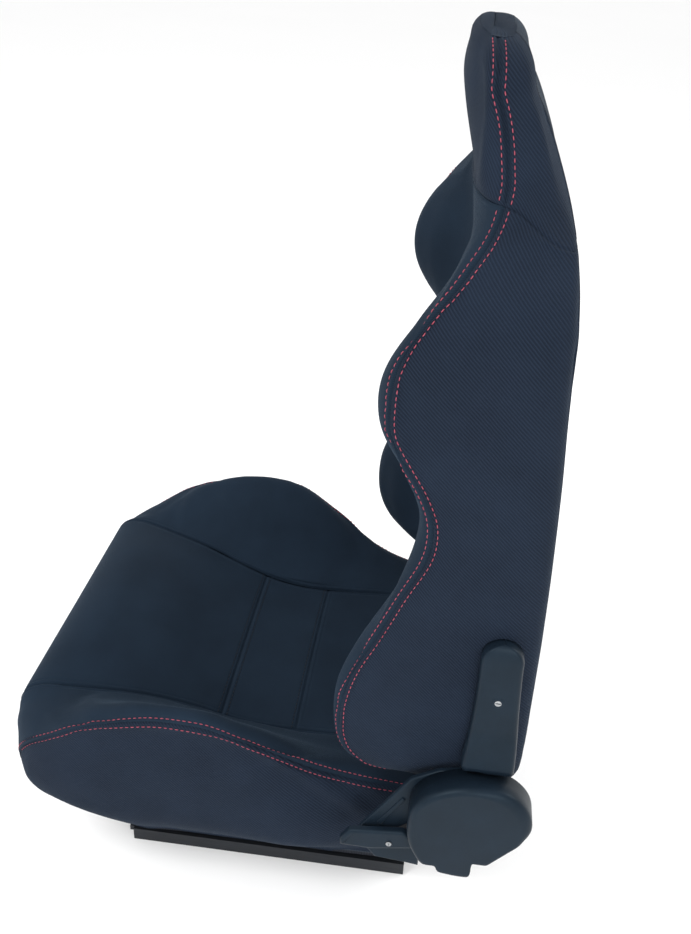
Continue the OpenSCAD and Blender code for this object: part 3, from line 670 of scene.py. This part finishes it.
def build_backrest():
    torso = levels(BACK_LOW, HEAD_SEAM)
    head = levels(HEAD_SEAM, DOME_Z) + TOP_LEVELS
    side_columns = range(PIPING, REAR_SEAM + 1)
    bolster = panel("back_bolster_cover", back_rows(torso, range(2, PIPING + 1)),
                    {"left", "right", "top"}, KNIT, "backrest", ["back_bolster"],
                    cap=4.0, sides=BOTH_SIDES)
    side = panel("back_side_panel", back_rows(torso, side_columns), {"left", "right", "top"}, TWILL,
                 "backrest", [], cap=3.0, sides=BOTH_SIDES, weave=weave_on_side)
    build_back_middle()
    face = panel("head_front_panel", both(back_rows(head, range(PIPING + 1))), {"left", "right", "bottom"},
                 TWILL, "backrest", ["head_pad"], cap=4.0, step=6.0)
    cheek = panel("head_side_panel", back_rows(head, side_columns), {"left", "right", "bottom"}, TWILL,
                  "backrest", [], cap=2.0, step=6.0, sides=BOTH_SIDES, weave=weave_on_side)
    build_back_rear()
    panel("head_crown", both(back_rows(CROWN_LEVELS, range(REAR_MIDDLE + 1))), set(), TWILL,
          "backrest", [], cap=2.0, step=4.0)
    thread_rows("back_stitching", [edge_line(bolster, "right"), edge_line(side, "left")], "backrest")
    thread_rows("head_stitching", [edge_line(face, "right"), edge_line(cheek, "left")], "backrest")
    build_back_underside()


# ---------- cushion ----------

# Middle profile in y and z, from the rear over the top and the front roll to the underside.
CENTRE = [(158, 148), (120, 148), (82, 145), (50, 143), (20, 142), (-20, 143), (-45, 147), (-62, 151),
          (-85, 159), (-110, 170), (-152, 191), (-190, 204), (-216, 209), (-238, 208), (-254, 200),
          (-266, 187), (-273, 171), (-273, 153), (-268, 134), (-257, 118), (-242, 105), (-222, 95),
          (-196, 86)]
# Inner seam, crest and piping of the left bolster, and the belly and lower edge of its side.
BOLSTER = [
    ((130, 158, 148), (188, 158, 150), (203, 158, 150), (210, 158, 100), (205, 158, 48)),
    ((130, 127, 148), (191, 127, 155), (203, 127, 151.5), (214, 127, 100), (205, 127, 48)),
    ((130, 102, 147), (194, 104, 161), (206, 102, 157), (220, 102, 104), (206, 102, 48)),
    ((130, 76, 145), (199, 78, 171), (211, 76, 166), (230, 76, 108), (207, 76, 48)),
    ((130, 51, 143.5), (206, 52, 184), (219, 51, 180), (239, 51, 112), (207, 51, 48)),
    ((130, 25, 142), (213, 24, 205), (228, 25, 198), (244, 25, 118), (207, 25, 48)),
    ((130, 0, 142), (221, -1, 223), (234, 0, 213.5), (245.5, 0, 126), (207, 0, 48)),
    ((131, -25, 144), (227, -26, 236), (240, -25, 226), (246, -25, 132), (207, -25, 48)),
    ((132, -51, 149), (230, -51, 245), (240, -51, 233.5), (246, -51, 134), (207, -51, 48)),
    ((133, -76, 158), (231, -78, 247.5), (240, -76, 235.5), (246, -76, 135), (207, -76, 48)),
    ((136, -102, 167), (230, -104, 246.5), (240, -102, 235), (246, -104, 135), (207, -104, 48)),
    ((141, -127, 176), (227, -130, 242.5), (240, -127, 231), (246, -132, 129), (207, -130, 45)),
    ((146, -153, 183), (223, -155, 234), (240, -153, 225), (245.5, -160, 127), (207, -155, 51)),
    ((151, -178, 188), (217, -180, 223.5), (240, -178, 217), (244.5, -188, 124), (206, -180, 62)),
    ((156, -202, 192), (209, -204, 208.5), (240, -204, 203), (242, -212, 121), (204, -203, 75)),
    ((160, -223, 196), (201, -225, 198), (236, -226, 188), (238, -231, 118), (200, -214, 83)),
    ((163, -243, 198), (194, -247, 190), (227, -248, 167), (230, -246, 115), (197, -221, 84)),
    ((165, -260, 194), (190, -263, 179), (216, -260, 145), (221, -253, 113), (193, -222, 86)),
    ((166, -272, 183), (187, -271, 163), (206, -262, 126), (212, -251, 106), (190, -219, 86)),
    ((166, -274.5, 166), (184, -270, 146), (198, -253, 111), (203, -243, 100), (187, -214, 86)),
    ((165, -273, 147), (180, -262, 127), (191, -238, 99), (196, -230, 94), (184, -209, 86)),
    ((163, -263, 128), (176, -246, 111), (185, -220, 91), (188.5, -214, 90), (182, -203, 86)),
    ((160, -247, 110), (172, -229, 98), (180, -201, 87.5), (182, -198, 87), (180, -198, 86)),
]
REAR_CHANNEL, FRONT_CHANNEL = 4, 7      # rows of CENTRE where the seams across the cushion are
FRONT_ROLL = -225                       # ahead of this the middle swells forwards too


def crowned_half(y, z, seam):
    """Half a row across the middle of the cushion, swollen in the middle."""
    sx, sy, sz = seam
    rise, push = (4.0, 0.0) if y > FRONT_ROLL else (1.5, -1.5)
    return [(sx * f, lerp(y, sy, f * f) + push * c, lerp(z, sz, f * f) + rise * c)
            for f, c in ((0, 1.0), (0.5, 0.8), (1.0, 0.0))]


def seam_at(y, z):
    """The inner seam beside a row of the middle profile."""
    seams = np.array([row[0] for row in BOLSTER], float)
    dense = spline(seams, np.linspace(0, len(seams) - 1, 400))
    return dense[np.argmin((dense[:, 1] - y) ** 2 + (dense[:, 2] - z) ** 2)]


def build_cushion_middle():
    """Three middle panels, with dark stitching on the seams between them."""
    rows = np.array([crowned_half(y, z, seam_at(y, z)) for y, z in CENTRE])
    made = {}
    for name, part, seams in (
            ("rear_panel", rows[:REAR_CHANNEL + 1], {"left", "right", "top"}),
            ("centre_band", rows[REAR_CHANNEL:FRONT_CHANNEL + 1], {"left", "right", "top", "bottom"}),
            ("thigh_panel", rows[FRONT_CHANNEL:], {"left", "right", "bottom"})):
        made[name] = panel("cushion_" + name, both(part)[:, ::-1], seams, KNIT, "seat_base",
                           ["cushion_centre_pad"], cap=6.0)
    band, thigh = made["centre_band"], made["thigh_panel"]
    channel = stitches("cushion_channel_stitching", [edge_line(band, "bottom"), edge_line(band, "top"),
                                                     edge_line(thigh, "bottom")], DARK_THREAD, radius=0.4)
    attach(channel, "seat_base")


UNSTITCHED = 12         # grid rows under the front of the cushion that have no stitching


def build_cushion_sides():
    """Bolster covers and side panels, with red stitching on the seam between them."""
    top, skirt = [], []
    for seam, crest, piping, belly, edge in np.array(BOLSTER, float):
        drop = crest[2] - seam[2]
        top.append([seam, lerp(seam, crest, 0.36) - [0, 0, 0.03 * drop],
                    lerp(seam, crest, 0.72) + [0, 0, 0.07 * drop], crest,
                    lerp(crest, piping, 0.6) + [0, 0, 0.22 * (crest[2] - piping[2])], piping])
        bulge = [0.33 * (belly[0] - edge[0]), 0, -0.05 * (belly[2] - edge[2])]
        skirt.append([piping, lerp(piping, belly, 0.45) + [2.5, 0, 0], belly,
                      lerp(belly, edge, 0.45) + bulge, edge])
    bolster = panel("cushion_bolster_cover", np.array(top)[:, ::-1], {"left", "right"}, KNIT,
                    "seat_base", ["cushion_bolster"], cap=4.0, sides=BOTH_SIDES)
    side = panel("cushion_side_panel", np.array(skirt)[:, ::-1], {"right"}, TWILL,
                 "seat_base", [], cap=4.0, sides=BOTH_SIDES, weave=weave_on_side)
    thread_rows("cushion_stitching", [edge_line(bolster[:-UNSTITCHED], "left"),
                                      edge_line(side[:-UNSTITCHED], "right")], "seat_base")


def build_cushion_closing():
    """Underside and rear wall of the cushion."""
    base = []
    for row in BOLSTER[:16:3]:
        edge = row[4]
        y, z = edge[1], 84 if edge[1] > -190 else 88
        base.append([(0, y, z), (90, y, z), (172, y, z), (178, y, edge[2]), edge])
    panel("cushion_underside", both(base), set(), REAR, "seat_base", [], cap=1.5, step=12.0)
    upper = np.array([(0, 158, 150), (65, 158, 149), (130, 158, 148), (188, 158, 150),
                      (205, 158, 146)], float)
    lower = np.array([(0, 160, 84), (65, 160, 84), (130, 160, 84), (176, 160, 60), (205, 160, 48)], float)
    wall = [lerp(upper, lower, t) + [0, 3 * math.sin(math.pi * t), 0] for t in (0, 0.35, 0.7, 1)]
    panel("cushion_rear_wall", both(wall), set(), REAR, "seat_base", [], cap=1.5, step=12.0)


# ---------- plastics and metal ----------


def inset(outline, d):
    """An outline, running anticlockwise, with each side moved in by d."""
    p = np.asarray(outline, float)
    before, after = p - np.roll(p, 1, 0), np.roll(p, -1, 0) - p
    before = before / np.linalg.norm(before, axis=1, keepdims=True)
    after = after / np.linalg.norm(after, axis=1, keepdims=True)
    n = np.stack([-before[:, 1], before[:, 0]], 1) + np.stack([-after[:, 1], after[:, 0]], 1)
    n = n / np.linalg.norm(n, axis=1, keepdims=True)
    side = np.stack([-after[:, 1], after[:, 0]], 1)
    return p + n * d / np.maximum((n * side).sum(1, keepdims=True), 0.5)


SHARP_EDGE = math.radians(32)


def plastic_piece(name, points, faces, body, cad_nodes, side, wall=0.0):
    """Puts a plastic piece on the left, or its mirror image on the right."""
    points = np.array(points, float)
    if side == "right":
        points = points * [-1, 1, 1]
        faces = [f[::-1] for f in faces]
    ob = new_object(name, points, faces, PLASTIC)
    ob.data.set_sharp_from_angle(angle=SHARP_EDGE)
    if wall:
        thick = ob.modifiers.new("wall", "SOLIDIFY")
        thick.thickness = wall * MM
        thick.offset = -1
    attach(ob, body)
    if cad_nodes:
        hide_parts(*cad_nodes)


def moulding(name, outline, face, low, rim, top, body, cad_nodes, side, wall=0.0):
    """A moulded piece: an outline in y and z drawn out along x from low to rim, then rounded over
    to a flat face at top. With a wall it is open at the back, otherwise solid."""
    outline, face = np.asarray(outline, float), np.asarray(face, float)
    n = len(outline)
    rings = [np.column_stack([np.broadcast_to(low, n), outline])]
    for t in np.linspace(0, math.pi / 2, 7):
        rings.append(np.column_stack([np.full(n, rim + (top - rim) * math.sin(t)),
                                      lerp(outline, face, 1 - math.cos(t))]))
    rings.append(np.column_stack([np.full(n, float(top)), inset(face, 0.8)]))
    points = np.concatenate(rings)
    faces = []
    for j in range(len(rings) - 1):
        for i in range(n):
            k = (i + 1) % n
            faces.append((j * n + i, j * n + k, (j + 1) * n + k, (j + 1) * n + i))
    faces.append(tuple((len(rings) - 1) * n + i for i in range(n)))
    if not wall:
        faces.append(tuple(reversed(range(n))))
    plastic_piece(name, points, faces, body, cad_nodes, side, wall)


AXIS = (207, 183)       # the recline axis, in y and z
# Radius of the round cover and of its flat face, by angle round the axis.
COVER = [(-180, 56.4), (-150, 57.5), (-128, 60), (-100, 56.5), (-50, 56), (-10, 49), (3, 53.2),
         (10, 57.6), (18, 61.5), (38, 65.5), (60, 66), (85, 61.8), (115, 60), (150, 60), (180, 56.4)]
COVER_FACE = [(-180, 51), (-150, 53), (-128, 55.5), (-100, 51.5), (-50, 50), (-10, 45), (3, 47.5),
              (15, 51.5), (38, 55), (60, 56.5), (85, 56), (115, 54.5), (150, 54.5), (180, 51)]
# Straight cuts across the cover's lower side: how far each passes under the axis, its slope,
# and the stretch of y that it covers.
COVER_CUTS = [(36, 0, 213, 236), (63.6, 1.2, 224, 300), (45.5, 0, 100, 184)]
# In x: the cover's open edge, the same edge at the lever slot, its rim and its face.
COVER_LOW, SLOT_LOW, COVER_RIM, COVER_TOP = 256.0, 261.0, 278, 285


def cover_outline(table, margin):
    """The round cover's outline: a bevel at the lower rear and two flats with a lobe between
    them, each moved in by margin."""
    angle = np.radians(np.arange(-180, 180, 1.5))
    radius = curve(table, np.degrees(angle))
    for under, slope, y_from, y_to in COVER_CUTS:
        fall = slope * np.cos(angle) - np.sin(angle)
        limit = (under - margin * math.hypot(1, slope)) / np.maximum(fall, 1e-3)
        y = AXIS[0] + np.minimum(limit, 300) * np.cos(angle)
        inside = (fall > 0.05) & (y >= y_from) & (y <= y_to)
        radius = np.where(inside, np.minimum(radius, limit), radius)
    p = np.column_stack([AXIS[0] + radius * np.cos(angle), AXIS[1] + radius * np.sin(angle)])
    for _ in range(3):
        p = (np.roll(p, 1, 0) + 2 * p + np.roll(p, -1, 0)) / 4
    return p


def build_recliner_covers():
    """Round covers over the recliner, cut back at the front where the lever comes out."""
    outline, face = cover_outline(COVER, 0), cover_outline(COVER_FACE, 4)
    in_slot = (outline[:, 0] < 171) & (outline[:, 1] > 141) & (outline[:, 1] < 199)
    low = np.where(in_slot, SLOT_LOW, COVER_LOW)
    for side in SIDES:
        moulding(f"round_cover_{side}", outline, face, low, COVER_RIM, COVER_TOP, "seat_base",
                 [f"recliner_cover_{side}"], side, wall=2.2)


def build_shrouds():
    """Skirts in the corners beside the cushion and the backrest, each with a raised ridge."""
    for side, front in (("left", 104), ("right", 127)):
        skirt = np.array([(front, 145), (front + 5, 122), (front + 11, 115), (front + 18, 106), (153, 103),
                          (165.7, 101), (165.7, 176), (181, 202), (199, 228), (195, 238), (176, 234),
                          (162, 226), (150, 219)], float)
        moulding(f"shroud_{side}", skirt, inset(skirt, 1.6), 250.3, 253, 254.8, "seat_base",
                 [f"recliner_shroud_{side}"], side)
        ridge = np.array([(front + 17, 157), (front + 22, 155), (147, 192), (144, 194)], float)
        moulding(f"shroud_ridge_{side}", ridge, inset(ridge, 1.0), 254.5, 255.2, 256.1, "seat_base",
                 [], side)


def build_handle():
    """The lever's paddle."""
    outline = np.array([(87, 131.5), (90, 130.7), (117, 130), (157, 137.5), (161.5, 141), (151.5, 157),
                        (147, 159), (100, 153), (95, 151.5), (87, 139)], float)
    moulding("handle_left", outline, inset(outline, 3.2), 260, 264, 266.8, "recline_lever",
             ["recline_handle"], "left")


ARM_BASE, ARM_FACE = 246, 259.8         # the arm covers' inner and outer faces, in x
ARM_LOW, ARM_SWELL_END, ARM_DOME = 250, 291, 372
ARM_SWELL = 6.5                         # how far the lower end swells out
ARM_MIDDLE, ARM_RADIUS = 218, 18.75     # centre and radius of the rounded top
COVER_GAP, COVER_ROWS = 68, 262         # rows below the second keep the first from the recline axis
SCREW_AT = (219, 330)
# Half of the arm cover's cross section, as (share of its half width, share of its depth).
ARM_PROFILE = [(1.0, 0.0), (1.0, 0.35), (1.0, 0.62), (0.985, 0.76), (0.95, 0.88), (0.88, 0.96),
               (0.78, 0.995), (0.6, 1.0), (0.3, 1.005), (0, 1.01)]


def arm_cover_row(z):
    """The arm cover's cross section at height z."""
    left = float(curve([(ARM_LOW, 194), (280, 197), (320, 199), (ARM_DOME, ARM_MIDDLE - ARM_RADIUS)], z))
    right = float(curve([(ARM_LOW, 243), (330, 238.5), (ARM_DOME, ARM_MIDDLE + ARM_RADIUS)], z))
    centre, half = (left + right) / 2, (right - left) / 2
    fall = 1.0
    if z > ARM_DOME:
        up = min((z - ARM_DOME) / ARM_RADIUS, 1)
        half = ARM_RADIUS * math.sqrt(1 - up * up)
        fall = 0.55 + 0.45 * (1 - up ** 2.6) ** 0.5
    swell = float(np.interp(z, [ARM_LOW, ARM_SWELL_END], [ARM_SWELL, 0]))
    depth = (ARM_FACE - ARM_BASE) * fall + swell
    row = []
    for a, b in ARM_PROFILE + [(-a, b) for a, b in ARM_PROFILE[-2::-1]]:
        y = centre - a * half
        gap = AXIS[1] + math.sqrt(max(COVER_GAP ** 2 - (y - AXIS[0]) ** 2, 0))
        row.append((ARM_BASE + depth * b, y, max(z, gap) if z < COVER_ROWS else z))
    return row


def build_arm_covers():
    """Tall covers with a rounded top, whose lower end swells outwards, and a ring round the screw."""
    heights = list(np.linspace(ARM_LOW, ARM_SWELL_END, 10)) + list(np.linspace(296, ARM_DOME, 14))
    heights += [ARM_DOME + ARM_RADIUS * math.sin(a) for a in np.linspace(0.12, math.pi / 2, 13)]
    g = np.array([arm_cover_row(z) for z in heights], float)
    faces = grid_faces(*g.shape[:2])
    turn = np.linspace(0, 2 * math.pi, 40, endpoint=False)
    ring = np.column_stack([SCREW_AT[0] + 5.6 * np.cos(turn), SCREW_AT[1] + 5.6 * np.sin(turn)])
    for side in SIDES:
        plastic_piece(f"back_arm_cover_{side}", g.reshape(-1, 3), faces, "backrest",
                      [f"arm_cover_{side}"], side, wall=2.0)
        moulding(f"screw_ring_{side}", ring, inset(ring, 1.7), 259.2, 260.0, 260.3, "backrest", [], side)


CAD_LOOKS = {
    "black_plastic": PLASTIC, "screw_silver": SCREW, "spring_wire": SPRING, "zinc_steel": ZINC,
    "rail_steel": RAIL, "black_frame": FRAME, "seat_knit": KNIT, "side_weave": TWILL, "rear_cloth": REAR}


def dress_cad_nodes():
    """Gives each CAD node the look of its material slot."""
    slots = {part["node"]: part["material_slot"] for part in frame["record"]["subparts"]}
    for name, ob in frame["nodes"].items():
        look = CAD_LOOKS[slots[name]]
        for k in range(len(ob.material_slots)):
            ob.material_slots[k].material = look


# ---------- stage ----------


def area_light(name, place, aim, size, power):
    """A soft round lamp at place that points at aim."""
    light = bpy.data.lights.new(name, "AREA")
    light.shape = "DISK"
    light.size = size
    light.energy = power
    ob = bpy.data.objects.new(name, light)
    bpy.context.scene.collection.objects.link(ob)
    ob.location = place
    away = np.array(place, float) - np.array(aim, float)
    ob.rotation_euler = Vector(away).to_track_quat("Z", "Y").to_euler()


def build_stage():
    """A pale floor, a white surround and three soft lamps."""
    scene = bpy.context.scene
    floor, nodes, links, bsdf = material("studio_floor")
    tint = mix(nodes, links, noise(nodes, links, object_space(nodes), 0.7, 2.0),
               (0.95, 0.95, 0.95), (0.975, 0.975, 0.975))
    links.new(tint, bsdf.inputs["Base Color"])
    bsdf.inputs["Roughness"].default_value = 0.95
    reach, level = 30000, -1
    ground = new_object("studio_ground", [(-reach, -reach, level), (reach, -reach, level),
                                          (reach, reach, level), (-reach, reach, level)],
                        [(0, 1, 2, 3)], floor, False)
    world = bpy.data.worlds.new("studio")
    scene.world = world
    world.use_nodes = True
    back = world.node_tree.nodes["Background"]
    back.inputs["Color"].default_value = (1, 1, 1, 1)
    back.inputs["Strength"].default_value = 1.0
    area_light("key", (1.6, -1.6, 2.6), (0, 0, 0.4), 1.6, 60)
    area_light("side", (2.4, 0.8, 1.2), (0, 0.1, 0.4), 1.4, 30)
    area_light("rim", (-0.6, 2.2, 1.8), (0, 0.2, 0.5), 1.0, 20)
    scene.view_settings.view_transform = "Standard"


def build_camera():
    """Looks down on the lever side, from a little behind the middle of the rails."""
    camera = bpy.data.cameras.new("camera")
    ob = bpy.data.objects.new("camera", camera)
    bpy.context.scene.collection.objects.link(ob)
    right = (-0.12487, 0.99118, 0.04439)
    up = (-0.48715, -0.10022, 0.86755)
    back = (0.86435, 0.08671, 0.49537)
    place = (0.9516, 0.1428, 0.9497)
    rows = [[right[k], up[k], back[k], place[k]] for k in range(3)] + [[0, 0, 0, 1]]
    ob.matrix_world = Matrix(rows)
    camera.sensor_fit = "VERTICAL"
    camera.sensor_height = 36
    camera.lens = 39.31
    camera.clip_start, camera.clip_end = 0.05, 100
    bpy.context.scene.camera = ob


build_camera()
build_stage()
dress_cad_nodes()
build_backrest()
build_cushion_middle()
build_cushion_sides()
build_cushion_closing()
build_recliner_covers()
build_shrouds()
build_handle()
build_arm_covers()
